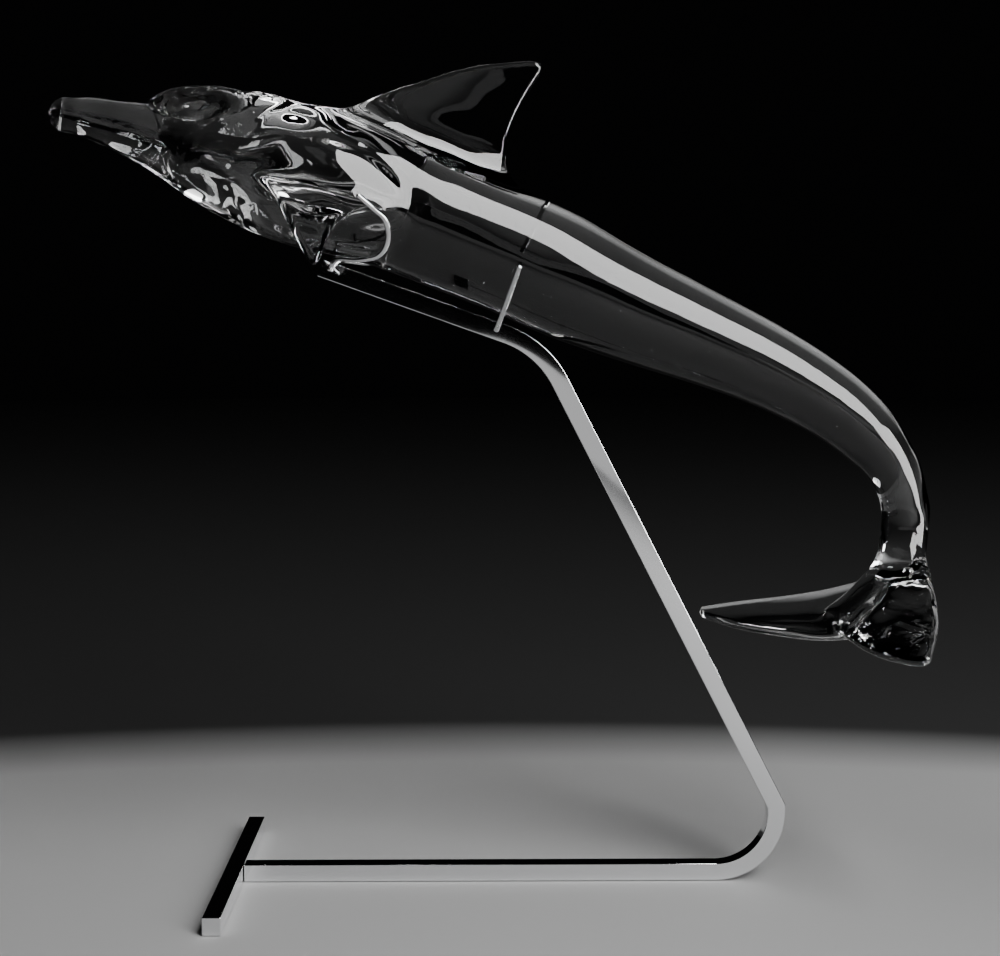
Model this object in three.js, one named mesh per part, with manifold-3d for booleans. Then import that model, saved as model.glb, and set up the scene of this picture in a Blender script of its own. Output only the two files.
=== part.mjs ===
// A clear crystal dolphin lying along the raised arm of a polished steel stand.
// Millimetres, +Z up, +X towards the tail, -Y towards the viewer. The origin is
// under the middle of the whole work, on the surface that it stands on.

import * as THREE from 'three';
import Module from 'manifold-3d';

const wasm = await Module();
wasm.setup();

// Stand: one bent square bar, welded to a square foot bar.
const BAR_SIZE = 10;
const FOOT_BAR_SIZE = 10;
const FOOT_BAR_LENGTH = 179;
const RAIL_LENGTH = 315;
const ELBOW_RADIUS = 35;
const ELBOW_RISE = 4;
const STRUT_LEAN = THREE.MathUtils.degToRad(27.2);
const ARM_SLOPE = THREE.MathUtils.degToRad(19.65);
const ARM_HEIGHT = 310;
const ARM_LENGTH = 133;
const ARM_BEND_RADIUS = 55;

// Rods welded to the arm: two pins that make a V, and two hooks.
const ROD_DIAMETER = 3;
const PIN_LEAN = THREE.MathUtils.degToRad(45);
const PIN_LENGTH = 53;
const PIN_SETBACK = 28;
const HOOK_SETBACK = 119;
const HOOK_STANDOFF = 3;

// The crystal: every share below is in thousandths of this length, which runs
// from the beak to the tail along the arm.
const DOLPHIN_LENGTH = 555;

// Gap left between pieces that touch.
const TOUCH_GAP = 0.3;

const BEND_STEPS = 8;
const ROD_SIDES = 12;
const HOOK_STEPS = 36;
const HOOK_SIDES = 10;

const crystal = () => new THREE.MeshStandardMaterial({
  color: 0xf2f6f7, roughness: 0.02, metalness: 0, transparent: true, opacity: 0.35,
});
const steel = () => new THREE.MeshStandardMaterial({ color: 0xc9ccd0, roughness: 0.12, metalness: 1 });

const piece = (name, geometry, material) => {
  const mesh = new THREE.Mesh(geometry, material);
  mesh.name = name;
  return mesh;
};

// Solids from rings of points

// Six times the signed volume under one triangle, positive when it faces out.
const volumeUnder = (a, b, c) => a.dot(new THREE.Vector3().crossVectors(b, c));

// A closed solid through rings that all have as many points, with both ends
// closed by a fan around the ring's middle.
function loft(rings) {
  const sides = rings[0].length;
  const points = rings.flat();
  const faces = [];
  for (let i = 0; i + 1 < rings.length; i += 1) {
    for (let j = 0; j < sides; j += 1) {
      const a = i * sides + j;
      const b = i * sides + (j + 1) % sides;
      faces.push([a, b, b + sides], [a, b + sides, a + sides]);
    }
  }
  for (const end of [0, rings.length - 1]) {
    const middle = new THREE.Vector3();
    rings[end].forEach((point) => middle.addScaledVector(point, 1 / sides));
    const hub = points.push(middle) - 1;
    for (let j = 0; j < sides; j += 1) {
      const a = end * sides + j;
      const b = end * sides + (j + 1) % sides;
      faces.push(end === 0 ? [hub, b, a] : [hub, a, b]);
    }
  }
  const volume = faces.reduce((sum, [a, b, c]) => sum + volumeUnder(points[a], points[b], points[c]), 0);
  const outward = volume > 0 ? faces : faces.map(([a, b, c]) => [a, c, b]);
  return new wasm.Manifold(new wasm.Mesh({
    numProp: 3,
    vertProperties: new Float32Array(points.flatMap((point) => point.toArray())),
    triVerts: new Uint32Array(outward.flat()),
  }));
}

function geometryOf(solid) {
  const mesh = solid.getMesh();
  const geometry = new THREE.BufferGeometry();
  geometry.setAttribute('position', new THREE.BufferAttribute(new Float32Array(mesh.vertProperties), 3));
  geometry.setIndex(new THREE.BufferAttribute(new Uint32Array(mesh.triVerts), 1));
  geometry.computeVertexNormals();
  return geometry;
}

// The crystal dolphin, in the arm's frame: x runs down the arm towards the tail
// and z stands off it. The point over the pins, on the dolphin's axis, is zero.

const share = (thousandths) => DOLPHIN_LENGTH * thousandths / 1000;
const curveThrough = (rows) => new THREE.CatmullRomCurve3(
  rows.map(([x, y, z]) => new THREE.Vector3(share(x), share(y), share(z))), false, 'centripetal');

// Rows of [x, half the height, z] down the axis. A curve through them gives the
// axis and the girth together.
const BODY_ROWS = [
  [-402, 4, 4], [-399, 14, 3], [-390, 27, 1], [-375, 41, -1], [-351, 53, -2], [-322, 62, -1],
  [-286, 68, 0], [-233, 71, 1], [-180, 68, 4], [-109, 63, 3], [-20, 62, 0], [33, 61, -4],
  [104, 56, -11], [175, 50, -15], [246, 43, -18], [316, 39, -28], [368, 35, -42],
  [415, 29, -66], [442, 25, -89], [467, 25, -129], [474, 23, -160], [468, 12, -190],
];
const BEAK_ROWS = [
  [-498, 4, -22], [-496, 10, -22], [-486, 16, -20], [-463, 21, -17], [-427, 25, -13],
  [-398, 29, -9], [-365, 31, -5], [-332, 24, -3],
];
const THROAT_ROWS = [
  [-450, 10, -26], [-425, 19, -23], [-398, 31, -20], [-370, 42, -16], [-335, 52, -12], [-290, 52, -10],
];
const SEAT_HALF_HEIGHT = share(62);
const BODY_WIDTH = 0.96;        // width over height at the middle of the body
const TAIL_WIDTH = 0.9;         // the same at the tail
const BEAK_WIDTH = 1.0;
const MOUTH_DEPTH = 1.5;        // the groove between the jaws, in thousandths
const BODY_STEPS = 52;
const BODY_SIDES = 28;
const BEAK_STEPS = 18;
const BEAK_SIDES = 20;
const THROAT_STEPS = 14;

// A round form swept down rows of [x, half height, z], with its sections square
// to the axis. widthAt gives width over height at each share of the way along.
function sweptForm(rows, steps, sides, widthAt, rise = () => 0, squash = 1) {
  const curve = curveThrough(rows);
  const axisAt = (t) => {
    const { x, y, z } = curve.getPoint(t);
    return { half: y, middle: new THREE.Vector3(x, 0, z) };
  };
  const rings = [];
  for (let i = 0; i <= steps; i += 1) {
    const t = i / steps;
    const { half, middle } = axisAt(t);
    const ahead = axisAt(Math.min(1, t + 0.004)).middle;
    const behind = axisAt(Math.max(0, t - 0.004)).middle;
    const along = ahead.sub(behind).normalize();
    const up = new THREE.Vector3(-along.z, 0, along.x);
    middle.addScaledVector(up, rise(half));
    rings.push(Array.from({ length: sides }, (_, j) => {
      const angle = 2 * Math.PI * j / sides;
      return middle.clone()
        .addScaledVector(up, half * squash * Math.cos(angle))
        .add(new THREE.Vector3(0, half * widthAt(t) * Math.sin(angle), 0));
    }));
  }
  return loft(rings);
}

const body = sweptForm(
  BODY_ROWS, BODY_STEPS, BODY_SIDES, (t) => THREE.MathUtils.lerp(BODY_WIDTH, TAIL_WIDTH, t));

// Each jaw is a flatter form, set up or down from the beak's axis, so that the
// mouth is a groove between the two.
const jaw = (side) => sweptForm(BEAK_ROWS, BEAK_STEPS, BEAK_SIDES, () => BEAK_WIDTH,
  (half) => side * (0.42 * half + share(MOUTH_DEPTH) / 2), 0.58);

// The throat fills in under the head, from the chin back, and leaves the crease
// where the forehead meets the beak.
const throat = sweptForm(THROAT_ROWS, THROAT_STEPS, BODY_SIDES, () => BODY_WIDTH);

// Fins are blades lofted from root to tip between a leading and a trailing edge.
// Each section is a lens, fuller towards the leading edge.
const FIN_SIDES = 18;
const FIN_STEPS = 13;

function fin({ leading, trailing, root, tip }) {
  const front = curveThrough(leading);
  const back = curveThrough(trailing);
  const middleAt = (s) => front.getPoint(s).add(back.getPoint(s)).multiplyScalar(0.5);
  const rings = [];
  for (let i = 0; i <= FIN_STEPS; i += 1) {
    const s = i / FIN_STEPS;
    const start = front.getPoint(s);
    const chord = back.getPoint(s).sub(start);
    const span = middleAt(Math.min(1, s + 0.02)).sub(middleAt(Math.max(0, s - 0.02)));
    const normal = new THREE.Vector3().crossVectors(chord, span).normalize();
    const thickness = share(THREE.MathUtils.lerp(root, tip, s));
    rings.push(Array.from({ length: FIN_SIDES }, (_, j) => {
      const angle = 2 * Math.PI * j / FIN_SIDES;
      const along = (1 - Math.cos(angle)) / 2;
      const fullness = (1.25 - 0.5 * along) * thickness / 2;
      return start.clone().addScaledVector(chord, along).addScaledVector(normal, fullness * Math.sin(angle));
    }));
  }
  return loft(rings);
}

const mirrored = (rows) => rows.map(([x, y, z]) => [x, -y, z]);
const mirroredFin = (blade) => (
  { ...blade, leading: mirrored(blade.leading), trailing: mirrored(blade.trailing) });

const DORSAL_FIN = {
  leading: [[-228, 0, 52], [-196, 0, 98], [-154, 0, 132], [-112, 0, 162], [-66, 0, 185], [-53, 0, 190]],
  trailing: [[-20, 0, 40], [-44, 0, 72], [-53, 0, 105], [-53, 0, 135], [-48, 0, 165], [-43, 0, 185]],
  root: 26,
  tip: 8,
};
const PECTORAL_FIN = {
  leading: [[-296, -34, -10], [-244, -86, -32], [-198, -132, -68], [-181, -150, -79]],
  trailing: [[-106, -30, 6], [-154, -80, -12], [-178, -112, -36], [-178, -145, -70]],
  root: 30,
  tip: 9,
};
const NEAR_FLUKE = {
  leading: [[466, 0, -96], [500, -40, -160], [507, -97, -202], [494, -152, -233]],
  trailing: [[414, -58, -236], [439, -98, -250], [469, -131, -248], [486, -153, -240]],
  root: 42,
  tip: 13,
};
const FAR_FLUKE = {
  leading: [[472, 0, -152], [450, 14, -202], [398, 33, -247], [307, 50, -286]],
  trailing: [[424, -50, -252], [394, -37, -271], [350, -2, -285], [311, 44, -293]],
  root: 38,
  tip: 9,
};

const crystalParts = [
  throat,
  jaw(1),
  jaw(-1),
  fin(DORSAL_FIN),
  fin(PECTORAL_FIN),
  fin(mirroredFin(PECTORAL_FIN)),
  fin(NEAR_FLUKE),
  fin(FAR_FLUKE),
];
const dolphinSolid = crystalParts.reduce((whole, part) => whole.add(part), body);

// The stand's bar

// Both sides of a bar that follows a path of straight runs in the XZ plane. Each
// corner has its own bend radius on the bar's middle line, and 0 is a mitre.
function barOutline(corners, size) {
  const half = size / 2;
  const left = [];
  const right = [];
  const put = (point, normal) => {
    left.push(point.clone().addScaledVector(normal, half));
    right.push(point.clone().addScaledVector(normal, -half));
  };
  const normalOf = (direction) => new THREE.Vector2(-direction.y, direction.x);
  corners.forEach(({ at, radius = 0 }, i) => {
    const into = i > 0 ? at.clone().sub(corners[i - 1].at).normalize() : null;
    const out = i + 1 < corners.length ? corners[i + 1].at.clone().sub(at).normalize() : null;
    if (!into || !out) {
      put(at, normalOf(into ?? out));
      return;
    }
    const turn = Math.atan2(into.cross(out), into.dot(out));
    if (radius === 0) {
      const mitre = normalOf(into).add(normalOf(out)).normalize();
      put(at, mitre.multiplyScalar(1 / Math.cos(turn / 2)));
      return;
    }
    const start = at.clone().addScaledVector(into, -radius * Math.tan(Math.abs(turn) / 2));
    const centre = start.clone().addScaledVector(normalOf(into), Math.sign(turn) * radius);
    for (let step = 0; step <= BEND_STEPS; step += 1) {
      const swept = turn * step / BEND_STEPS;
      const point = start.clone().rotateAround(centre, swept);
      put(point, normalOf(into).rotateAround(new THREE.Vector2(), swept));
    }
  });
  return [...left, ...right.reverse()];
}

// The bar's middle line starts at the foot bar, where x and z are zero.
const railLine = BAR_SIZE / 2;
const riserX = RAIL_LENGTH - BAR_SIZE / 2;
const kinkZ = railLine + ELBOW_RADIUS + ELBOW_RISE;
const armCorner = new THREE.Vector2(riserX - (ARM_HEIGHT - kinkZ) * Math.tan(STRUT_LEAN), ARM_HEIGHT);
const armEnd = new THREE.Vector2(
  armCorner.x - ARM_LENGTH * Math.cos(ARM_SLOPE), armCorner.y + ARM_LENGTH * Math.sin(ARM_SLOPE));

const standPath = [
  { at: new THREE.Vector2(TOUCH_GAP, railLine) },
  { at: new THREE.Vector2(riserX, railLine), radius: ELBOW_RADIUS },
  { at: new THREE.Vector2(riserX, kinkZ) },
  { at: armCorner, radius: ARM_BEND_RADIUS },
  { at: armEnd },
];
const standGeometry = new THREE.ExtrudeGeometry(
  new THREE.Shape(barOutline(standPath, BAR_SIZE)), { depth: BAR_SIZE, bevelEnabled: false });
standGeometry.rotateX(Math.PI / 2).translate(0, BAR_SIZE / 2, 0);
const standBar = piece('stand_bar', standGeometry, steel());

const footBar = piece(
  'foot_crossbar', new THREE.BoxGeometry(FOOT_BAR_SIZE, FOOT_BAR_LENGTH, FOOT_BAR_SIZE), steel());
footBar.position.set(-FOOT_BAR_SIZE / 2, 0, FOOT_BAR_SIZE / 2);

// The rods, in the arm's frame, with zero on the arm's top face between the pins.

const rodRadius = ROD_DIAMETER / 2;
const besideArm = BAR_SIZE / 2 + TOUCH_GAP;

// A pin leans out from the arm's side, and the round body lies against it. How
// high the body's axis sits follows from the lean and the body's section.
const pinFoot = { y: besideArm + rodRadius * Math.cos(PIN_LEAN), z: -BAR_SIZE / 2 };
const seatReach = Math.hypot(
  SEAT_HALF_HEIGHT * BODY_WIDTH * Math.cos(PIN_LEAN), SEAT_HALF_HEIGHT * Math.sin(PIN_LEAN));
const seatHeight = pinFoot.z
  + (seatReach + rodRadius + TOUCH_GAP - pinFoot.y * Math.cos(PIN_LEAN)) / Math.sin(PIN_LEAN);

function sidePin(name, side) {
  const pin = piece(name, new THREE.CylinderGeometry(rodRadius, rodRadius, PIN_LENGTH, ROD_SIDES), steel());
  const along = new THREE.Vector3(0, side * Math.sin(PIN_LEAN), Math.cos(PIN_LEAN));
  pin.quaternion.setFromUnitVectors(new THREE.Vector3(0, 1, 0), along);
  pin.position.set(0, side * pinFoot.y, pinFoot.z).addScaledVector(along, PIN_LENGTH / 2);
  return pin;
}

// A hook rises beside the arm, passes under the body and curls round the back
// of the pectoral fin's root. The first points follow the arm, and the others
// stand off the body, as shares from its axis over the pins.
const HOOK_CURL = [
  [-150, 50, -58], [-133, 58, -47], [-130, 66, -29], [-138, 76, -14], [-151, 84, -8], [-170, 92, -1],
];
function finHook(name, side) {
  const hookX = PIN_SETBACK - HOOK_SETBACK;
  const points = [
    [hookX, besideArm + rodRadius, -BAR_SIZE / 2],
    [hookX, besideArm + rodRadius + TOUCH_GAP, -BAR_SIZE / 5],
    [hookX + ROD_DIAMETER, besideArm + 4 * ROD_DIAMETER, HOOK_STANDOFF],
    ...HOOK_CURL.map(([x, y, z]) => [share(x), share(y), seatHeight + share(z)]),
  ].map(([x, y, z]) => new THREE.Vector3(x, side * y, z));
  const path = new THREE.CatmullRomCurve3(points, false, 'centripetal');
  const section = new THREE.Shape(Array.from({ length: HOOK_SIDES }, (_, j) => {
    const angle = 2 * Math.PI * j / HOOK_SIDES;
    return new THREE.Vector2(rodRadius * Math.cos(angle), rodRadius * Math.sin(angle));
  }));
  return piece(name, new THREE.ExtrudeGeometry(section, { steps: HOOK_STEPS, extrudePath: path }), steel());
}

const dolphin = piece('dolphin', geometryOf(dolphinSolid), crystal());
dolphin.position.z = seatHeight;

const arm = new THREE.Group();
arm.rotation.y = ARM_SLOPE;
arm.position.set(
  armCorner.x - PIN_SETBACK * Math.cos(ARM_SLOPE) + BAR_SIZE / 2 * Math.sin(ARM_SLOPE),
  0,
  armCorner.y + PIN_SETBACK * Math.sin(ARM_SLOPE) + BAR_SIZE / 2 * Math.cos(ARM_SLOPE));
arm.add(
  dolphin,
  sidePin('side_pin_near', -1),
  sidePin('side_pin_far', 1),
  finHook('fin_hook_near', -1),
  finHook('fin_hook_far', 1));

// The whole work, centred on the origin.
const sculpture = new THREE.Group();
sculpture.add(standBar, footBar, arm);
const whole = new THREE.Box3().setFromObject(sculpture, true);
const middle = whole.getCenter(new THREE.Vector3());
sculpture.position.set(-middle.x, -middle.y, -whole.min.z);

export default sculpture;
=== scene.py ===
# %% [markdown]
# # A crystal dolphin on a polished steel stand
# The real work is one heavy piece of clear crystal: a dolphin with its head
# raised and its tail curled down. It lies on the sloped arm of a stand bent
# from square bar, held by two pins and two hooks.
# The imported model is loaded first. It fixes where every piece is and how big.

# %% Load the frame
import math
import bmesh
import bpy
import numpy as np
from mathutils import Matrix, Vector


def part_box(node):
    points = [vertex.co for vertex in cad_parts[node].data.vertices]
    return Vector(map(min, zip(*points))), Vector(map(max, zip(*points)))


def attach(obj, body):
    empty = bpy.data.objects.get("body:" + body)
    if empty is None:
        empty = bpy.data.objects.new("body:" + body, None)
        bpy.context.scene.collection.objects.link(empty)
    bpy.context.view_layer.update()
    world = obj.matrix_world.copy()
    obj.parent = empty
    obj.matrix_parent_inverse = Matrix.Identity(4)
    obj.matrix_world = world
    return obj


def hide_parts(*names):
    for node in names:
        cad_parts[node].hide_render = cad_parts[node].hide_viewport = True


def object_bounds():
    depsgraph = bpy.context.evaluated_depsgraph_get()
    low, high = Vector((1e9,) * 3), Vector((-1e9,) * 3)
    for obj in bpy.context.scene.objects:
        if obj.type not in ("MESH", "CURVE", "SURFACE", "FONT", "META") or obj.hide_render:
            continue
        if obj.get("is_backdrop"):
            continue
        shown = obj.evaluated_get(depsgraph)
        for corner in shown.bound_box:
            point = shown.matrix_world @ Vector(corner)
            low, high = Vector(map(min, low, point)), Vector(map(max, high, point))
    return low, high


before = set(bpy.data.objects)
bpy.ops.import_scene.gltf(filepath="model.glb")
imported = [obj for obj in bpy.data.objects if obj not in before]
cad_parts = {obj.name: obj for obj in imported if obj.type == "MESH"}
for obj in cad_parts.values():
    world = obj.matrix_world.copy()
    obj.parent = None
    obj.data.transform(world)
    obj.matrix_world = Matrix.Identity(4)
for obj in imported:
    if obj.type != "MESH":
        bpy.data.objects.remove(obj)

MM = 0.001
model_low, model_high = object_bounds()
print("model box in mm:", [round(v / MM, 1) for v in (*model_low, *model_high)])

# %% [markdown]
# ## The camera
# A camera was fitted to the stand's corners in the photograph. It stands about
# 0.94 m in front of the work and a little above its middle, and looks slightly
# down. The picture is 1000 pixels wide, so the lens follows from the fitted
# focal length in pixels.

# %% Camera
PICTURE_WIDTH = 1000
FOCAL_PIXELS = 1647
CAMERA_PLACE = Vector((-6.21, -937.9, 325.8)) * MM
PITCH_DOWN = math.radians(5.50)
TURN_RIGHT = math.radians(0.60)

lens = bpy.data.cameras.new("camera")
lens.sensor_width = 36
lens.lens = FOCAL_PIXELS * lens.sensor_width / PICTURE_WIDTH
camera = bpy.data.objects.new("camera", lens)
camera.location = CAMERA_PLACE
camera.rotation_euler = (math.pi / 2 - PITCH_DOWN, 0, -TURN_RIGHT)
bpy.context.scene.collection.objects.link(camera)
bpy.context.scene.camera = camera
print("lens in mm:", round(lens.lens, 2))

# %% [markdown]
# ## Shader sums as plain Python
# A shader is a graph of nodes, which is slow to read. This small class wraps
# one socket, so that `1 - mask` or `noise * 0.2` adds its own Math node.

# %% A socket that can be added and multiplied
class Wire:
    """One output socket. Sums on it add Math nodes to its tree."""

    def __init__(self, tree, socket):
        self.tree = tree
        self.socket = socket

    def sum(self, kind, first, second):
        return node(self.tree, "ShaderNodeMath", {"operation": kind}, {0: first, 1: second})

    def __add__(self, other):
        return self.sum("ADD", self, other)

    def __radd__(self, other):
        return self.sum("ADD", other, self)

    def __sub__(self, other):
        return self.sum("SUBTRACT", self, other)

    def __rsub__(self, other):
        return self.sum("SUBTRACT", other, self)

    def __mul__(self, other):
        return self.sum("MULTIPLY", self, other)

    def __rmul__(self, other):
        return self.sum("MULTIPLY", other, self)


def node(tree, kind, settings=None, inputs=None, output=0):
    """Adds a node, sets it, joins its inputs and returns one output as a Wire."""
    made = tree.nodes.new(kind)
    for name, value in (settings or {}).items():
        if name == "stops":
            for stop, (place, colour) in zip(made.color_ramp.elements, value):
                stop.position = place
                stop.color = (*colour, 1)
        else:
            setattr(made, name, value)
    for name, value in (inputs or {}).items():
        if isinstance(value, Wire):
            tree.links.new(value.socket, made.inputs[name])
        else:
            made.inputs[name].default_value = value
    return Wire(tree, made.outputs[output])


def new_material(name, **values):
    """A material with its Principled shader's own sockets set to plain values."""
    material = bpy.data.materials.new(name)
    material.use_nodes = True
    shader = material.node_tree.nodes["Principled BSDF"]
    for socket, value in values.items():
        shader.inputs[socket.replace("_", " ")].default_value = value
    return material, material.node_tree, shader


def join(wire, target, socket):
    """Leads a Wire into a socket of the target node."""
    wire.tree.links.new(wire.socket, target.inputs[socket])


# %% [markdown]
# ## Clear crystal
# Lead crystal bends light a little more than window glass. Its clearness is a
# set of plain values. Fire polishing leaves long, very shallow waves on the
# skin, and they bend the reflections, so they go in as a faint bump. The glass
# was worked most on the forehead and on the near fluke, and there the ripples
# are finer and steeper. They could be modelled too, but a bump costs no
# triangles, and a mask by distance keeps it to those two places.

# %% Values of the crystal
CRYSTAL_BEND = 1.54
WAVE_SCALE = 22.0
WAVE_RISE = 0.12
SWIRL_SCALE = 60.0
SWIRL_TWIST = 1.6
SWIRL_RISE = 2.6
FOREHEAD_SWIRLS = {"centre": (-0.158, -0.012, 0.442), "full": 0.020, "none": 0.040}
FOREHEAD_SHARE = 0.8
FLUKE_SWIRLS = {"centre": (0.232, -0.072, 0.195), "full": 0.025, "none": 0.060}
FLUKE_SHARE = 0.35

# %% Crystal material
crystal, tree, shader = new_material(
    "clear_crystal", Base_Color=(0.985, 0.992, 0.995, 1), Roughness=0.0,
    IOR=CRYSTAL_BEND, Transmission_Weight=1.0)
place = node(tree, "ShaderNodeTexCoord", output="Object")
waves = node(tree, "ShaderNodeTexNoise",
             inputs={"Vector": place, "Scale": WAVE_SCALE, "Detail": 1.0})
swirls = node(tree, "ShaderNodeTexNoise",
              inputs={"Vector": place, "Scale": SWIRL_SCALE, "Detail": 1.0, "Distortion": SWIRL_TWIST})


def near_place(centre, full, none):
    """1 within the distance full of a place, falling to 0 at the distance none."""
    away = node(tree, "ShaderNodeVectorMath", {"operation": "DISTANCE"}, {0: place, 1: centre},
                output="Value")
    return node(tree, "ShaderNodeMapRange", {"interpolation_type": "SMOOTHSTEP"},
                {"Value": away, "From Min": full, "From Max": none, "To Min": 1.0, "To Max": 0.0})


worked = (FOREHEAD_SHARE * near_place(**FOREHEAD_SWIRLS)
          + FLUKE_SHARE * near_place(**FLUKE_SWIRLS))
height = WAVE_RISE * waves + SWIRL_RISE * worked * swirls
ripple = node(tree, "ShaderNodeBump", inputs={"Strength": 1.0, "Distance": MM, "Height": height},
              output="Normal")
join(ripple, shader, "Normal")
print("nodes of the crystal:", len(tree.nodes))

# %% [markdown]
# ## Polished steel
# The stand is polished to a mirror. A mirror is only as dull as what lies on
# it, so fine marks and finger smears change the roughness and nothing else. The
# plain roughness is for a viewer that doesn't read them.

# %% Steel material
SMEAR_SCALE, SMEAR_ROUGHNESS = 38.0, 0.05
MARK_SCALE, MARK_ROUGHNESS = 900.0, 0.015
LEAST_ROUGHNESS = 0.015

steel, tree, shader = new_material(
    "polished_steel", Base_Color=(0.86, 0.865, 0.875, 1), Metallic=1.0, Roughness=0.06)
place = node(tree, "ShaderNodeTexCoord", output="Object")
smears = node(tree, "ShaderNodeTexNoise",
              inputs={"Vector": place, "Scale": SMEAR_SCALE, "Detail": 5.0})
marks = node(tree, "ShaderNodeTexNoise",
             inputs={"Vector": place, "Scale": MARK_SCALE, "Detail": 2.0})
join(LEAST_ROUGHNESS + SMEAR_ROUGHNESS * smears + MARK_ROUGHNESS * marks, shader, "Roughness")
print("materials:", [m.name for m in (crystal, steel)])

# %% [markdown]
# ## Making a piece
# Every piece is a mesh made from points and faces. It is named, smoothed,
# given its finish and told which body it rides on, and the plain solid of the
# imported model that it stands for is hidden. The stand's bars also get edges
# that handling has rounded a little. A bevel makes them from the plain box, so
# the script needs no points for them.

# %% A piece from points and faces
def make_piece(name, points, faces, material, stands_for):
    """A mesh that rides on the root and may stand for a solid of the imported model."""
    mesh = bpy.data.meshes.new(name)
    mesh.from_pydata([tuple(p) for p in points], [], [tuple(f) for f in faces])
    mesh.materials.append(material)
    piece = bpy.data.objects.new(name, mesh)
    bpy.context.scene.collection.objects.link(piece)
    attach(piece, "root")
    if stands_for:
        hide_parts(stands_for)
    print(name, "faces:", len(mesh.polygons))
    return piece


# %% Worn edges
EDGE_WEAR = 0.45 * MM
EDGE_SEGMENTS = 2
SHARP_ANGLE = math.radians(40)


def soften_edges(piece):
    """Rounds the sharp edges of a bar and keeps its faces flat in the light."""
    bevel = piece.modifiers.new("worn_edge", "BEVEL")
    bevel.width = EDGE_WEAR
    bevel.segments = EDGE_SEGMENTS
    bevel.limit_method = "ANGLE"
    bevel.angle_limit = SHARP_ANGLE
    piece.data.shade_smooth()
    even = piece.modifiers.new("flat_faces", "WEIGHTED_NORMAL")
    even.keep_sharp = True
    even.weight = 100
    print(piece.name, "edges worn by", round(EDGE_WEAR / MM, 2), "mm")


# %% [markdown]
# ## The stand's bar
# One length of 10 mm square bar is bent into a rail, a leaning strut and a
# sloped arm. In a workshop it would be heated and pulled round a former, so
# each bend is an arc on the bar's middle line. The path of that line comes from
# named values in millimetres. The bar's two sides are drawn beside it, and then
# pushed out to the bar's width, so each place on the path has four points.

# %% Values of the bar
BAR = 10.0
RAIL_LENGTH = 315.0
ELBOW_RADIUS = 35.0
ELBOW_RISE = 4.0
STRUT_LEAN = math.radians(27.2)
ARM_SLOPE = math.radians(19.65)
ARM_HEIGHT = 310.0
ARM_LENGTH = 133.0
ARM_BEND_RADIUS = 55.0
TOUCH_GAP = 0.3
BEND_STEPS = 40

rail_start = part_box("foot_crossbar")[1][0] / MM
rail_line = BAR / 2
riser_x = RAIL_LENGTH - BAR / 2
kink_z = rail_line + ELBOW_RADIUS + ELBOW_RISE
corner_x = riser_x - (ARM_HEIGHT - kink_z) * math.tan(STRUT_LEAN)
bar_path = [
    ((TOUCH_GAP, rail_line), 0),
    ((riser_x, rail_line), ELBOW_RADIUS),
    ((riser_x, kink_z), 0),
    ((corner_x, ARM_HEIGHT), ARM_BEND_RADIUS),
    ((corner_x - ARM_LENGTH * math.cos(ARM_SLOPE), ARM_HEIGHT + ARM_LENGTH * math.sin(ARM_SLOPE)), 0),
]
print("the strut's foot and top in mm:", round(riser_x, 1), round(corner_x, 1))


# %% The two sides of a bent bar
def turned(vector, angle):
    """A vector of the side view, turned about the origin."""
    c, s = math.cos(angle), math.sin(angle)
    return np.array([c * vector[0] - s * vector[1], s * vector[0] + c * vector[1]])


def bar_sides(path, half):
    """Matching points on both sides of a path of corners, each with its bend's radius."""
    left, right = [], []

    def put(point, normal):
        left.append(point + normal * half)
        right.append(point - normal * half)

    corners = [np.array(at) for at, _ in path]
    ways = [(b - a) / np.linalg.norm(b - a) for a, b in zip(corners, corners[1:])]
    normals = [turned(way, math.pi / 2) for way in ways]
    put(corners[0], normals[0])
    for i in range(1, len(corners) - 1):
        into, out = ways[i - 1], ways[i]
        turn = math.atan2(into[0] * out[1] - into[1] * out[0], into @ out)
        radius = path[i][1]
        if radius == 0:
            mitre = normals[i - 1] + normals[i]
            put(corners[i], mitre / np.linalg.norm(mitre) / math.cos(turn / 2))
            continue
        start = corners[i] - into * radius * math.tan(abs(turn) / 2)
        centre = start + normals[i - 1] * math.copysign(radius, turn)
        for step in range(BEND_STEPS + 1):
            swept = turn * step / BEND_STEPS
            put(centre + turned(start - centre, swept), turned(normals[i - 1], swept))
    put(corners[-1], normals[-1])
    return left, right


# %% The bent bar
left, right = bar_sides(bar_path, BAR / 2)
points = []
for a, b in zip(left, right):
    for x, z in (a, b):
        for y in (-BAR / 2, BAR / 2):
            points.append(((rail_start + x) * MM, y * MM, z * MM))
faces = []
rings = len(left)
for i in range(rings - 1):
    n = 4 * i
    m = n + 4
    faces += [(n, m, m + 1, n + 1), (n + 2, n + 3, m + 3, m + 2),
              (n, n + 2, m + 2, m), (n + 1, m + 1, m + 3, n + 3)]
last = 4 * (rings - 1)
faces += [(0, 1, 3, 2), (last, last + 2, last + 3, last + 1)]
bent_bar = make_piece("bent_bar", points, faces, steel, "stand_bar")
soften_edges(bent_bar)

# %% [markdown]
# ## The foot bar
# A second length of bar lies across the rail's end and keeps the work from
# tipping. It is a straight bar, so a box with ground edges is what it is.

# %% The foot bar
low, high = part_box("foot_crossbar")
box = bmesh.new()
bmesh.ops.create_cube(box, size=1)
for corner in box.verts:
    corner.co = [low[i] if corner.co[i] < 0 else high[i] for i in range(3)]
points = [tuple(v.co) for v in box.verts]
faces = [tuple(v.index for v in face.verts) for face in box.faces]
box.free()
foot_bar = make_piece("foot_bar", points, faces, steel, "foot_crossbar")
soften_edges(foot_bar)

# %% [markdown]
# ## The arm's own frame
# The dolphin and the rods belong to the sloped arm. Their points are given
# along the arm, sideways, and off the arm, and turned into place together. The
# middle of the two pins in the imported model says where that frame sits.

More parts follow.
